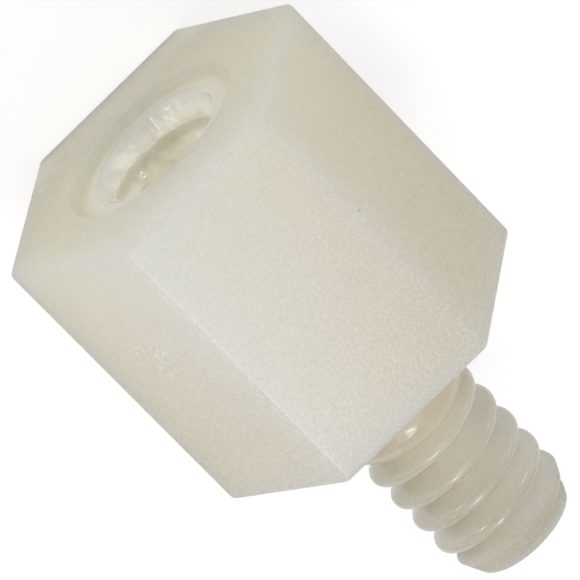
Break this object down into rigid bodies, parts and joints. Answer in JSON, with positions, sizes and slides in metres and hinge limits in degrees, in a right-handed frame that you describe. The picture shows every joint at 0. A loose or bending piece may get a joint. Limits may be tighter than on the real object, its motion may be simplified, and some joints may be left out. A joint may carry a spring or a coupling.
{
  "type": "hex standoff",
  "caption": "Short male-female hex standoff moulded in natural nylon: a hexagonal body with a blind threaded bore in one end and a threaded stud on the other.",
  "frame": {"origin": "centre of the shoulder, where the thread axis meets the plane that the stud stands on", "axes": "+X along the thread axis towards the stud's tip, +Z square to the upper flat as the standoff lies on its lower one, +Y towards a corner of the hexagon"},
  "size_m": [0.0111, 0.0072, 0.0064],
  "materials": {
    "nylon": "frosted, slightly translucent off-white natural nylon, a little glossier on the threads"
  },
  "bodies": {
    "root": {"hex_standoff": "nylon"}
  },
  "joints": []
}
